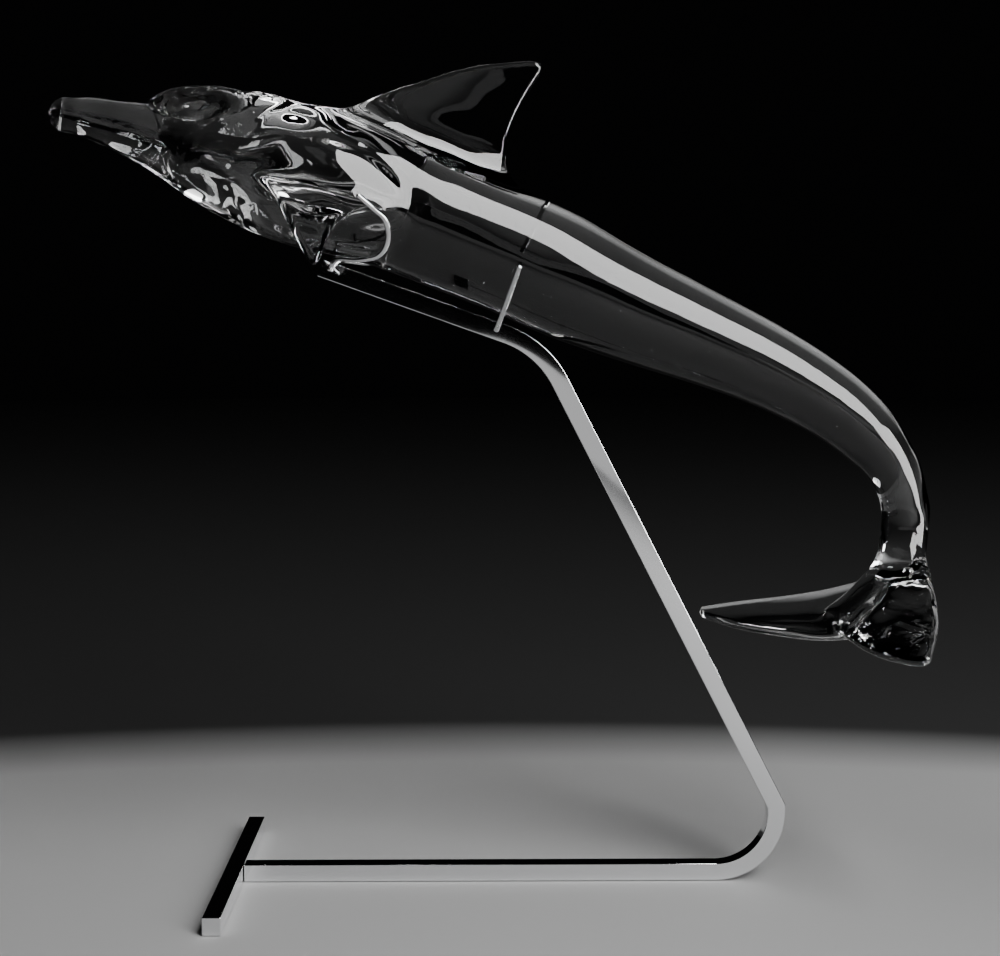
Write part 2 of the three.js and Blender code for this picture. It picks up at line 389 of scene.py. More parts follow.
# %% From the arm's frame to the model's
ROD = 3.0
PIN_LEAN = math.radians(45)
PIN_LENGTH = 53.0
pin_foot_y = BAR / 2 + TOUCH_GAP + ROD / 2 * math.cos(PIN_LEAN)
pin_foot_z = -BAR / 2
pin_middle_z = pin_foot_z + PIN_LENGTH / 2 * math.cos(PIN_LEAN)

near_low, near_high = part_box("side_pin_near")
pin_x = (near_low[0] + near_high[0]) / 2 / MM
pin_z = (near_low[2] + near_high[2]) / 2 / MM
slope_cos, slope_sin = math.cos(ARM_SLOPE), math.sin(ARM_SLOPE)
arm_origin = np.array([pin_x - pin_middle_z * slope_sin, 0.0, pin_z - pin_middle_z * slope_cos])


def from_arm(points):
    """Points in the arm's frame, in mm, as points of the model, in metres."""
    points = np.asarray(points, dtype=float)
    x = points[:, 0] * slope_cos + points[:, 2] * slope_sin
    z = points[:, 2] * slope_cos - points[:, 0] * slope_sin
    return (np.stack([x, points[:, 1], z], axis=1) + arm_origin) * MM


print("arm frame's zero in mm:", arm_origin.round(2))

# %% [markdown]
# ## Round rods
# Pins and hooks are 3 mm rod with filed ends. A rod is swept along its path
# with rings that never twist, and the last rings draw in to round each end. The
# filed end is a list of ways in and widths, both in radii of the rod.

# %% A smooth path
def smooth_path(corners, steps):
    """A smooth curve through the corners, at even shares of the way."""
    corners = np.asarray(corners, dtype=float)
    padded = np.vstack([2 * corners[0] - corners[1], corners, 2 * corners[-1] - corners[-2]])
    curve = []
    for i in range(len(corners) - 1):
        a, b, c, d = padded[i:i + 4]
        for t in np.linspace(0, 1, steps, endpoint=False):
            curve.append(0.5 * (2 * b + (c - a) * t + (2 * a - 5 * b + 4 * c - d) * t ** 2
                                + (3 * b - a - 3 * c + d) * t ** 3))
    return np.array([*curve, corners[-1]])


# %% A rod along a path
ROD_SIDES = 20
ASIDE = (1.0, 0.3, 0.2)
FILED_END = [(0.0, 0.55), (0.12, 0.8), (0.3, 0.94), (0.5, 1.0)]


def rod_mesh(path, radius):
    """Points and faces of a rod. ASIDE only says where the first ring begins."""
    ways = np.gradient(path, axis=0)
    ways /= np.linalg.norm(ways, axis=1)[:, None]
    side = np.cross(ways[0], ASIDE)
    stops = [(path[0] + ways[0] * radius * off, ways[0], size) for off, size in FILED_END]
    stops += [(p, w, 1.0) for p, w in zip(path[1:-1], ways[1:-1])]
    stops += [(path[-1] - ways[-1] * radius * off, ways[-1], size) for off, size in FILED_END[::-1]]
    points, faces = [], []
    for middle, way, size in stops:
        side = side - way * (side @ way)
        side /= np.linalg.norm(side)
        up = np.cross(way, side)
        for angle in np.linspace(0, 2 * np.pi, ROD_SIDES, endpoint=False):
            points.append(middle + radius * size * (math.cos(angle) * side + math.sin(angle) * up))
    for ring in range(len(stops) - 1):
        for j in range(ROD_SIDES):
            a = ring * ROD_SIDES + j
            b = ring * ROD_SIDES + (j + 1) % ROD_SIDES
            faces.append((a, b, b + ROD_SIDES, a + ROD_SIDES))
    last = (len(stops) - 1) * ROD_SIDES
    faces.append(tuple(range(ROD_SIDES))[::-1])
    faces.append(tuple(range(last, last + ROD_SIDES)))
    return points, faces


# %% [markdown]
# ## The two pins
# Two straight pins are welded to the sides of the arm and lean outwards. The
# round body lies in the V between them.

# %% Pins
SIDES = ((-1, "near"), (1, "far"))
PIN_STEPS = 12

for side, where in SIDES:
    along = np.array([0, side * math.sin(PIN_LEAN), math.cos(PIN_LEAN)])
    foot = np.array([0, side * pin_foot_y, pin_foot_z])
    path = [foot + along * PIN_LENGTH * t for t in np.linspace(0, 1, PIN_STEPS)]
    points, faces = rod_mesh(np.array(path), ROD / 2)
    pin = make_piece("pin_" + where, from_arm(points), faces, steel,
                     "side_pin_" + where)
    pin.data.shade_smooth()

# %% [markdown]
# ## Where the body lies
# The pins lean by a known angle and the body between them is nearly round, so
# both together say how far its axis is from the arm. The body is a little
# narrower than it is high. Its places and sizes are given in thousandths of its
# length, so the whole dolphin grows with that one value.

# %% The body's seat
DOLPHIN_LENGTH = 555.0
SEAT_SHARE = 62.0
BODY_WIDTH = 0.96


def share(thousandths):
    """Thousandths of the dolphin's length in mm."""
    return np.asarray(thousandths, dtype=float) * DOLPHIN_LENGTH / 1000


seat_half = float(share(SEAT_SHARE))
seat_reach = math.hypot(seat_half * BODY_WIDTH * math.cos(PIN_LEAN), seat_half * math.sin(PIN_LEAN))
seat_lift = seat_reach + ROD / 2 + TOUCH_GAP - pin_foot_y * math.cos(PIN_LEAN)
seat_height = pin_foot_z + seat_lift / math.sin(PIN_LEAN)
print("the body's axis is", round(seat_height, 2), "mm off the arm")

# %% [markdown]
# ## The two hooks
# Each hook starts at a weld on the arm's side, passes under the body and curls
# up behind the root of a side fin. It was bent cold by hand, so its curve runs through a few
# points with no straight length between them. The curl's points are in
# thousandths of the dolphin's length and count from its axis.

# %% Hooks
HOOK_STEPS = 10
HOOK_X = -99.0
HOOK_SWING = 4 * ROD
HOOK_STANDOFF = 3.0
WELD_TOP = -BAR / 5
HOOK_CURL = [(-150, 50, -58), (-133, 58, -47), (-130, 66, -29), (-138, 76, -14),
             (-151, 84, -8), (-170, 92, -1)]
hook_side = BAR / 2 + TOUCH_GAP + ROD / 2
hook_points = np.array([
    (HOOK_X, hook_side, -BAR / 2),
    (HOOK_X, hook_side + TOUCH_GAP, WELD_TOP),
    (HOOK_X + ROD, BAR / 2 + TOUCH_GAP + HOOK_SWING, HOOK_STANDOFF),
    *(share(HOOK_CURL) + (0, 0, seat_height)),
])
for side, where in SIDES:
    path = smooth_path(hook_points * (1, side, 1), HOOK_STEPS)
    points, faces = rod_mesh(path, ROD / 2)
    hook = make_piece("hook_" + where, from_arm(points), faces, steel,
                      "fin_hook_" + where)
    hook.data.shade_smooth()

# %% [markdown]
# ## The crystal dolphin as one skin
# The real dolphin was drawn from one gather of hot glass, and its fins were
# pressed on while it was soft, so every join is a smooth fillet. Meshes joined
# by hand would show seams here, and glass shows each one. So the shape is a
# field: a number for each point in space, negative in the glass. Fields melt
# into each other with a soft minimum, and the skin is where the field is zero.

# %% Soft minimum and smoothing
def melt(a, b, reach):
    """The lower of two fields, with a fillet where they are within reach."""
    near = np.maximum(reach - np.abs(a - b), 0) / reach
    return np.minimum(a, b) - near ** 3 * reach / 6


def smoothed(values, width, kind):
    """A Gaussian blur of evenly spaced values. Kind is how its ends go on."""
    reach = int(3 * width)
    weights = np.exp(-0.5 * (np.arange(-reach, reach + 1) / width) ** 2)
    padded = np.pad(values, reach, mode="reflect", reflect_type=kind)
    return np.convolve(padded, weights / weights.sum(), mode="valid")


# %% [markdown]
# ### The spine
# Rows down the dolphin's middle give the place along, half the height and the
# place off the axis, in thousandths of the length. They were read from the
# outline in the photograph. They are laid out evenly and blurred, which takes
# out the small errors of reading.

# %% The spine
SPINE = np.array([
    (-480, 13.5, -20.6), (-472, 17.4, -18.6), (-462, 20.7, -16.4), (-445, 22.5, -14.4),
    (-427, 24.9, -12.8), (-409, 28.0, -11.8), (-392, 31.6, -11.6), (-374, 35.9, -11.6),
    (-356, 41.2, -11.3), (-338, 47.3, -10.6), (-321, 53.9, -8.6), (-303, 60.1, -6.1),
    (-285, 65.0, -3.4), (-268, 68.4, -1.2), (-250, 70.8, 1.0), (-232, 71.3, 2.6),
    (-215, 70.1, 3.2), (-197, 68.8, 4.1), (-179, 67.5, 5.0), (-161, 65.8, 5.4),
    (-144, 64.1, 5.5), (-108, 63.4, 3.5), (-73, 62.5, 2.2), (-37, 61.8, 0.9),
    (-2, SEAT_SHARE, 0.1), (34, 62.6, -3.1), (69, 60.5, -6.6), (104, 57.0, -9.4),
    (140, 53.5, -11.8), (175, 50.4, -13.1), (211, 46.9, -15.0), (246, 44.0, -17.0),
    (282, 41.4, -20.4), (317, 39.2, -25.9), (352, 36.6, -32.9), (386, 34.0, -44.9),
    (402, 32.3, -52.8), (418, 29.2, -61.5), (433, 26.6, -72.4), (446, 25.2, -85.3),
    (456, 24.3, -99.8), (463.7, 23.5, -115.8), (469.8, 22.5, -133), (474.8, 21.0, -150),
    (477.3, 17.5, -162.5), (478.3, 12.0, -175.0),
])
SPINE_STEP = 0.5
SPINE_BLUR = 7.0

rows = share(SPINE)
gone = np.concatenate([[0], np.cumsum(np.hypot(np.diff(rows[:, 0]), np.diff(rows[:, 2])))])
spine_s = np.arange(0, gone[-1], SPINE_STEP)
blur = SPINE_BLUR / SPINE_STEP
spine_x = smoothed(np.interp(spine_s, gone, rows[:, 0]), blur, "odd")
spine_z = smoothed(np.interp(spine_s, gone, rows[:, 2]), blur, "odd")
spine_half = smoothed(np.interp(spine_s, gone, rows[:, 1]), blur, "even")
spine_s = np.concatenate([[0], np.cumsum(np.hypot(np.diff(spine_x), np.diff(spine_z)))])
way_x = np.gradient(spine_x, spine_s)
way_z = np.gradient(spine_z, spine_s)
bend = way_x * np.gradient(way_z, spine_s) - way_z * np.gradient(way_x, spine_s)
half_slope = np.gradient(spine_half, spine_s)
print("spine length in mm:", round(float(spine_s[-1]), 1))


# %% Nearest place on the spine
TAIL_WIDTH = 0.9
COARSE = 4
NEAREST_STEPS = 3
LEAST_TURN = 0.3


def in_chunks(function, x, z, size=20000):
    """Runs a function of the side view on a part of the points at a time."""
    shape = np.broadcast(x, z).shape
    x = np.broadcast_to(x, shape).ravel()
    z = np.broadcast_to(z, shape).ravel()
    parts = [function(x[i:i + size], z[i:i + size]) for i in range(0, x.size, size)]
    return [np.concatenate(p).reshape(shape) for p in zip(*parts)]


def spine_part(x, z):
    """Distance to the spine in its plane, and half height, width and slope there."""
    far = (x[:, None] - spine_x[::COARSE]) ** 2 + (z[:, None] - spine_z[::COARSE]) ** 2
    s = spine_s[::COARSE][far.argmin(axis=1)]
    for _ in range(NEAREST_STEPS):
        off_x = x - np.interp(s, spine_s, spine_x)
        off_z = z - np.interp(s, spine_s, spine_z)
        tx = np.interp(s, spine_s, way_x)
        tz = np.interp(s, spine_s, way_z)
        along = off_x * tx + off_z * tz
        aside = off_z * tx - off_x * tz
        turn = 1 - np.interp(s, spine_s, bend) * aside
        s = np.clip(s + along / np.maximum(turn, LEAST_TURN), 0, spine_s[-1])
    off = np.hypot(x - np.interp(s, spine_s, spine_x), z - np.interp(s, spine_s, spine_z))
    width = np.interp(s, [0, spine_s[-1]], [BODY_WIDTH, TAIL_WIDTH])
    return off, np.interp(s, spine_s, spine_half), width, np.interp(s, spine_s, half_slope)


# %% [markdown]
# ### The mouth
# The mouth is a shallow groove cut along each side of the beak and round its
# tip. It only depends on the place in the side view, so it is a channel along
# a path there. It runs out towards the cheek and is shallower at the tip.

# %% The mouth's groove
MOUTH = share([(-520, -22), (-493, -22), (-463, -20), (-450, -20), (-427, -18), (-401, -16),
               (-371, -15), (-355, -26), (-343, -36)])
MOUTH_STEPS = 8
MOUTH_DEPTH = 0.7
MOUTH_WIDTH = 1.6
CHEEK_FADE = 12.0
TIP_FADE = (-272.0, -262.0)
TIP_DEPTH = 0.35
mouth_line = smooth_path(np.insert(MOUTH, 1, 0, axis=1), MOUTH_STEPS)


def mouth_part(x, z):
    """How deep the groove is at each place of the side view."""
    line_x, line_z = mouth_line[:, 0], mouth_line[:, 2]
    nearest = ((x[:, None] - line_x) ** 2 + (z[:, None] - line_z) ** 2).argmin(axis=1)
    far = np.full(x.shape, 1e9)
    for step in (-1, 0):
        a = np.clip(nearest + step, 0, len(line_x) - 2)
        way_x, way_z = line_x[a + 1] - line_x[a], line_z[a + 1] - line_z[a]
        along = ((x - line_x[a]) * way_x + (z - line_z[a]) * way_z) / (way_x ** 2 + way_z ** 2)
        along = np.clip(along, 0, 1)
        off_x = x - line_x[a] - along * way_x
        off_z = z - line_z[a] - along * way_z
        far = np.minimum(far, off_x ** 2 + off_z ** 2)
    fade = np.clip((mouth_line[-1, 0] - x) / CHEEK_FADE, 0, 1)
    fade = fade * np.interp(x, TIP_FADE, (TIP_DEPTH, 1.0))
    return (MOUTH_DEPTH * np.exp(-far / MOUTH_WIDTH ** 2) * fade,)


# %% [markdown]
# ### The forehead and the shoulders
# A dolphin's forehead is a rounded bump that stops in a crease over the beak
# and runs smoothly into the back. It is an egg melted into the head, with a
# small fillet in front and a large one behind. Two larger eggs, one on each
# side, fill out the shoulders that carry the side fins.

# %% The forehead and the shoulder pads
FOREHEAD_MIDDLE = share((-345, 0, 33))
FOREHEAD_SIZE = np.array([35.0, 22.0, 13.0])
FOREHEAD_TILT = math.radians(17)
CREASE_FILLET = 1.5
NECK_FILLET = 22.0
FILLET_START = -20.0
FILLET_LENGTH = 45.0
PAD_MIDDLE = share((-206, 36, -2))
PAD_SIZE = share((110, 39, 51))
PAD_FILLET = 2.0


def egg(x, y, z, size):
    """The field of an egg with half sizes, nearly a distance close to its skin."""
    flat = np.sqrt((x / size[0]) ** 2 + (y / size[1]) ** 2 + (z / size[2]) ** 2)
    steep = np.sqrt((x / size[0] ** 2) ** 2 + (y / size[1] ** 2) ** 2 + (z / size[2] ** 2) ** 2)
    return flat * (flat - 1) / np.maximum(steep, 1e-9)


def head_and_pads(x, y, z, field):
    """The field with the forehead and both shoulder pads melted in."""
    dx, dz = x - FOREHEAD_MIDDLE[0], z - FOREHEAD_MIDDLE[2]
    along = dx * math.cos(FOREHEAD_TILT) + dz * math.sin(FOREHEAD_TILT)
    up = dz * math.cos(FOREHEAD_TILT) - dx * math.sin(FOREHEAD_TILT)
    reach = CREASE_FILLET + NECK_FILLET * np.clip((dx - FILLET_START) / FILLET_LENGTH, 0, 1) ** 2
    field = melt(field, egg(along, y, up, FOREHEAD_SIZE), reach)
    dx, dz = x - PAD_MIDDLE[0], z - PAD_MIDDLE[2]
    pad = egg(dx, np.abs(y) - PAD_MIDDLE[1], dz, PAD_SIZE)
    return melt(field, pad, PAD_FILLET)


# %% [markdown]
# ### Fins and flukes
# A fin is a blade: two edges in space, a surface between them that may twist,
# and a thickness that falls from root to tip. The blade's field measures how
# far a point is inside both edges and how far off the middle surface.
# Each edge has points from root to tip, in thousandths of the length, like the
# thickness at root and tip. The edge's radius, the fillet to the body and the
# overlap, which is how far a blade goes on inside it, are in millimetres. The
# far side fin is seen only through the crystal. Its tip is a little higher, as
# nothing of it shows below the body.

# %% Tables of the fins
FINS = {
    "back_fin": {
        "leading": [(-228, 0, 52), (-196, 0, 98), (-154, 0, 132), (-112, 0, 162), (-66, 0, 184),
                    (-53, 0, 189)],
        "trailing": [(-20, 0, 40), (-44, 0, 72), (-53, 0, 105), (-53, 0, 135), (-48, 0, 165),
                     (-43, 0, 185)],
        "root": 26, "tip": 9, "edge": 2.6, "fillet": 24.0, "overlap": 9.0,
    },
    "near_side_fin": {
        "leading": [(-296, -34, -10), (-244, -86, -32), (-198, -132, -68), (-181, -150, -79)],
        "trailing": [(-106, -30, 6), (-154, -80, -12), (-178, -112, -36), (-178, -145, -70)],
        "root": 30, "tip": 9, "edge": 2.4, "fillet": 9.0, "overlap": 9.0,
    },
    "far_fluke": {
        "leading": [(476, 0, -150), (455, 9, -194), (426, 21, -214), (398, 33, -237),
                    (306, 50, -281)],
        "trailing": [(424, -60, -254), (394, -42, -268), (350, -2, -282), (310, 44, -294)],
        "root": 31, "tip": 10, "edge": 2.8, "fillet": 14.0, "overlap": 3.0,
    },
    "near_fluke": {
        "leading": [(474, 0, -132), (498, -38, -163), (505, -97, -202), (493, -152, -233)],
        "trailing": [(414, -50, -236), (439, -95, -250), (469, -131, -248), (486, -153, -240)],
        "root": 38, "tip": 13, "edge": 3.2, "fillet": 19.0, "overlap": 3.0,
    },
}
FINS["far_side_fin"] = {
    **FINS["near_side_fin"],
    "leading": [(-296, 34, -10), (-246, 88, -28), (-202, 136, -56), (-184, 154, -63)],
    "trailing": [(-106, 30, 6), (-154, 82, -8), (-180, 116, -26), (-181, 149, -55)],
}
print("blades:", list(FINS))


# %% [markdown]
# Each blade gets its own plane, which is the one that fits its edges best. In
# it the edges are flat curves, carried straight on past both ends, and how far
# the middle surface rises off it is fitted to the edges too.

# %% A blade's own plane
EDGE_STEPS = 12
ROOT_RUN_ON = 60.0
TIP_RUN_ON = 30.0
BLADE_ROOM = 48.0


def twist_terms(a, b, axis):
    """Terms of a surface that is a cubic along the blade and straight across it."""
    one = np.ones_like(a)
    return np.stack([one, a, a * a, a ** 3, b, a * b, a * a * b], axis=axis)


def run_on(flat):
    """A flat edge, carried straight on past its root and its tip."""
    root_way = flat[0] - flat[1]
    tip_way = flat[-1] - flat[-2]
    return np.vstack([flat[0] + root_way / np.linalg.norm(root_way) * ROOT_RUN_ON, flat,
                      flat[-1] + tip_way / np.linalg.norm(tip_way) * TIP_RUN_ON])


def prepare_blade(fin):
    """A fin's row with its plane, its edges and ends in that plane, and its room."""
    front = smooth_path(share(fin["leading"]), EDGE_STEPS)
    back = smooth_path(share(fin["trailing"]), EDGE_STEPS)
    cloud = np.vstack([front, back])
    middle = cloud.mean(axis=0)
    root = (front[0] + back[0]) / 2
    tip = (front[-1] + back[-1]) / 2
    normal = np.linalg.svd(cloud - middle)[2][2]
    out = tip - root
    out -= normal * (out @ normal)
    out /= np.linalg.norm(out)
    across = np.cross(normal, out)

    def in_plane(points):
        return np.stack([(points - middle) @ out, (points - middle) @ across], axis=-1)

    a, b = in_plane(cloud).T
    rise = np.linalg.lstsq(twist_terms(a, b, -1), (cloud - middle) @ normal, rcond=None)[0]
    miss = twist_terms(a, b, -1) @ rise - (cloud - middle) @ normal
    print("middle surface misses the edges by", round(float(np.abs(miss).max()), 2), "mm")
    return {
        **fin, "middle": middle, "normal": normal, "out": out, "across": across, "rise": rise,
        "edges": [(run_on(in_plane(edge)), in_plane(other.mean(axis=0)))
                  for edge, other in ((front, back), (back, front))],
        "root_at": (root - middle) @ out, "tip_at": (tip - middle) @ out,
        "root_line": [in_plane(p) for p in (front[0], back[0])],
        "tip_line": [in_plane(p) for p in (back[-1], front[-1])],
        "low": cloud.min(axis=0) - BLADE_ROOM, "high": cloud.max(axis=0) + BLADE_ROOM,
    }


# %% Signed distance to an edge
def beside_edge(flat, target, a, b):
    """Distance from an edge in the blade's plane, positive towards target."""
    start, way = flat[:-1], np.diff(flat, axis=0)
    length = np.linalg.norm(way, axis=1)
    best = np.full(a.shape, 1e9)
    sign = np.ones(a.shape)
    for (sx, sy), (wx, wy), size in zip(start, way, length):
        px, py = a - sx, b - sy
        t = np.clip((px * wx + py * wy) / size ** 2, 0, 1)
        far = np.hypot(px - t * wx, py - t * wy)
        closer = far < best
        best = np.where(closer, far, best)
        sign = np.where(closer, np.sign(wx * py - wy * px), sign)
    gap = target - flat[len(flat) // 2]
    way_there = flat[len(flat) // 2 + 1] - flat[len(flat) // 2 - 1]
    inside = np.sign(way_there[0] * gap[1] - way_there[1] * gap[0])
    return best * sign * inside


def beside_line(ends, a, b):
    """Distance from the line through two points, positive towards the blade."""
    (sa, sb), (ea, eb) = ends
    length = math.hypot(ea - sa, eb - sb)
    value = ((b - sb) * (ea - sa) - (a - sa) * (eb - sb)) / length
    at_middle = (-sb * (ea - sa) + sa * (eb - sb)) / length
    return value * (1 if at_middle > 0 else -1)


# %% [markdown]
# The blade's two edges melt into a rounded outline, and so do its tip and its
# root. Distances from the root's line are halved, which tapers the root slowly
# inside the body. The blade is thin at its outline, with a round edge, and
# swells to its full thickness over the next centimetre or two.

# %% The field of a blade
EDGE_MELT = 6.0
TIP_MELT = 3.0
ROOT_MELT = 8.0
EDGE_RISE = 12.0
TIP_ROOM = 0.8
ROOT_EASE = 0.5
LEAST_STEEP = 0.15


def blade_field(blade, x, y, z):
    """How far each point is outside a blade, in mm, and negative inside it."""
    offset = [x - blade["middle"][0], y - blade["middle"][1], z - blade["middle"][2]]
    a, b, h = (sum(o * w for o, w in zip(offset, blade[axis]))
               for axis in ("out", "across", "normal"))
    h = h - twist_terms(a, b, -1) @ blade["rise"]
    front = beside_edge(*blade["edges"][0], a, b)
    back = beside_edge(*blade["edges"][1], a, b)
    inside = melt(front, back, EDGE_MELT)
    inside = melt(inside, beside_line(blade["tip_line"], a, b) + TIP_ROOM, TIP_MELT)
    at_root = ROOT_EASE * (beside_line(blade["root_line"], a, b) + blade["overlap"])
    inside = melt(inside, at_root, ROOT_MELT)
    gone = np.clip((a - blade["root_at"]) / (blade["tip_at"] - blade["root_at"]), 0, 1)
    edge = blade["edge"]
    full = share(blade["root"] + (blade["tip"] - blade["root"]) * gone) / 2
    full = edge + np.maximum(full - edge, 0) * (1 - np.exp(-np.maximum(inside, 0) / EDGE_RISE))
    thin = edge / full
    short = np.maximum(edge - inside, 0)
    across = np.sqrt(short ** 2 + (h * thin) ** 2)
    steep = np.sqrt(short ** 2 + (h * thin ** 2) ** 2) / np.maximum(across, 1e-6)
    return (across - edge) / np.maximum(steep, LEAST_STEEP)


blades = {name: prepare_blade(fin) for name, fin in FINS.items()}
for name, blade in blades.items():
    print(name, "span in mm:", round(float(blade["tip_at"] - blade["root_at"]), 1))


# %% [markdown]
# ### Waves left by the tools
# The head, the fins and the tail were pulled and pressed by hand, so their skin
# has low waves that turn reflections into swirls. The body's middle is smooth.
# A few sines in seeded directions are added up. How strong they are goes by the
# place along the body, with a little left on all that stands above the back.

# %% Waves left by the tools
SEED = 7
WAVE_COUNT = 8
WAVE_HEIGHT = 0.085
WAVE_LENGTHS = (12.0, 30.0)
WORKED_ALONG = share((-480, -400, -170, -60, 400, 450))
WORKED_SHARES = (0.3, 1, 1, 0.05, 0.05, 0.6)
ABOVE_BACK = share((60, 90))
ON_FIN = share((70, 100))
FIN_SHARE = 0.15

chance = np.random.default_rng(SEED)
wave_ways = chance.normal(size=(WAVE_COUNT, 3))
wave_ways /= np.linalg.norm(wave_ways, axis=1)[:, None]
wave_ways *= (2 * np.pi / chance.uniform(*WAVE_LENGTHS, WAVE_COUNT))[:, None]
wave_starts = chance.uniform(0, 2 * np.pi, WAVE_COUNT)
print("wave lengths in mm:", (2 * np.pi / np.linalg.norm(wave_ways, axis=1)).round(1))


def tool_waves(x, y, z):
    """How far the waves push the skin in or out at each point, in mm."""
    worked = np.interp(x, WORKED_ALONG, WORKED_SHARES)
    on_fin = np.interp(z, ON_FIN, (0, FIN_SHARE))
    worked = worked * np.interp(z, ABOVE_BACK, (1, FIN_SHARE))
    total = sum(np.sin(w[0] * x + w[1] * y + w[2] * z + start)
                for w, start in zip(wave_ways, wave_starts))
    return WAVE_HEIGHT * np.maximum(worked, on_fin) * total


# %% [markdown]
# ### The whole field
# The body comes first, then the head and the pads, then each blade with its
# own fillet. The field is worked out on a grid once, and later at single points
# to draw the skin exactly. What depends on the side view alone is worked out in
# one plane of the grid, which saves most of the time.

# %% The dolphin's field
def body_field(x, y, z, off, half, width, slope, groove):
    """The field without its blades, from what the side view says at each point."""
    field = (np.sqrt(off ** 2 + (y / width) ** 2) - half) / np.sqrt(1 + slope ** 2) + groove
    return head_and_pads(x, y, z, field)


def field_at(points):
    """The whole field at single points."""
    x, y, z = points.T
    off, half, width, slope = in_chunks(spine_part, x, z)
    groove = in_chunks(mouth_part, x, z)[0]
    field = body_field(x, y, z, off, half, width, slope, groove)
    for blade in blades.values():
        near = np.all((points > blade["low"]) & (points < blade["high"]), axis=1)
        part = blade_field(blade, x[near], y[near], z[near])
        field[near] = melt(field[near], part, blade["fillet"])
    return field + tool_waves(x, y, z)


# %% The field on a grid
GRID_STEP = 1.6
GRID_LOW = (-283.0, -92.0, -172.0)
GRID_HIGH = (290.0, 92.0, 112.0)

axes = [np.arange(a, b, GRID_STEP) for a, b in zip(GRID_LOW, GRID_HIGH)]
gx, gy, gz = axes[0][:, None, None], axes[1][None, :, None], axes[2][None, None, :]
plane = in_chunks(spine_part, gx, gz)
grid = body_field(gx, gy, gz, *plane, in_chunks(mouth_part, gx, gz)[0])
for blade in blades.values():
    spans = [slice(*np.searchsorted(axis, (low, high)))
             for axis, low, high in zip(axes, blade["low"], blade["high"])]
    part = blade_field(blade, gx[spans[0]], gy[:, spans[1]], gz[:, :, spans[2]])
    grid[tuple(spans)] = melt(grid[tuple(spans)], part, blade["fillet"])
grid += tool_waves(gx, gy, gz)
print("grid cells:", grid.size)


# %% [markdown]
# ### From field to skin
# Each grid cell that the skin passes through gets one point, at the middle of
# the places where its edges cross zero. Four cells round a crossed edge make a
# face. Such a skin has no holes in it, and its rule needs no list of cases.

# %% Points where the skin passes
CORNERS = [np.array((i, j, k)) for i in (0, 1) for j in (0, 1) for k in (0, 1)]
STEPS = np.eye(3, dtype=int)


def crossing_points(grid, cells):
    """The middle of the places where each cell's edges cross zero."""
    total = np.zeros((len(cells), 3))
    hits = np.zeros(len(cells))
    for a in CORNERS:
        for axis in range(3):
            if a[axis]:
                continue
            b = a + STEPS[axis]
            fa = grid[tuple((cells + a).T)]
            fb = grid[tuple((cells + b).T)]
            crossed = (fa < 0) != (fb < 0)
            t = np.where(crossed, fa / np.where(crossed, fa - fb, 1), 0)
            total += np.where(crossed[:, None], a + t[:, None] * (b - a), 0)
            hits += crossed
    return cells + total / hits[:, None]


# %% Skin from a grid
def skin_of(grid):
    """Points and four-sided faces where a grid's field is zero, in grid steps."""
    inside = grid < 0
    size = np.array(grid.shape) - 1
    count = sum(inside[c[0]:size[0] + c[0], c[1]:size[1] + c[1], c[2]:size[2] + c[2]].astype(np.int8)
                for c in CORNERS)
    active = (count > 0) & (count < 8)
    number = np.full(size, -1)
    cells = np.argwhere(active)
    number[active] = np.arange(len(cells))
    faces = []
    for axis in range(3):
        step, u, v = (STEPS[(axis + turn) % 3] for turn in range(3))
        first = inside[tuple(slice(1, n) for n in size)]
        second = inside[tuple(slice(1 + s, n + s) for n, s in zip(size, step))]
        edges = np.argwhere(first != second) + 1
        quad = np.stack([number[tuple((edges - off).T)] for off in (u + v, v, 0 * u, u)], axis=1)
        flip = ~inside[tuple(edges.T)]
        quad[flip] = quad[flip][:, ::-1]
        faces.append(quad)
    return crossing_points(grid, cells), np.concatenate(faces)


cell_points, skin_faces = skin_of(grid)
skin_points = cell_points * GRID_STEP + [axis[0] for axis in axes]
print("skin points:", len(skin_points), "faces:", len(skin_faces))


# %% [markdown]
# The grid's points lie a little off the skin. A Newton step down the field's
# slope draws each of them onto it. In between, the points slide along the skin
# towards the middle of their neighbours, which makes the faces even.

# %% A step onto the exact skin
SLOPE_GAP = 0.15
LEAST_SLOPE = 0.05


def slope_at(points):
    """The field's slope, from its values a little way to both sides."""
    ways = []
    for axis in range(3):
        shift = STEPS[axis] * SLOPE_GAP
        ways.append((field_at(points + shift) - field_at(points - shift)) / (2 * SLOPE_GAP))
    return np.stack(ways, axis=1)


def onto_skin(points):
    """The points after one Newton step, and the slope where they were."""
    slope = slope_at(points)
    steep = np.maximum((slope ** 2).sum(axis=1), LEAST_SLOPE)
    move = -slope * (field_at(points) / steep)[:, None]
    far = np.linalg.norm(move, axis=1)
    return points + move * np.minimum(1, GRID_STEP / np.maximum(far, 1e-9))[:, None], slope


# %% Draw the points onto the exact skin
EVENING_ROUNDS = 2
EVENING_PASSES = 3
EVENING_SHARE = 0.5

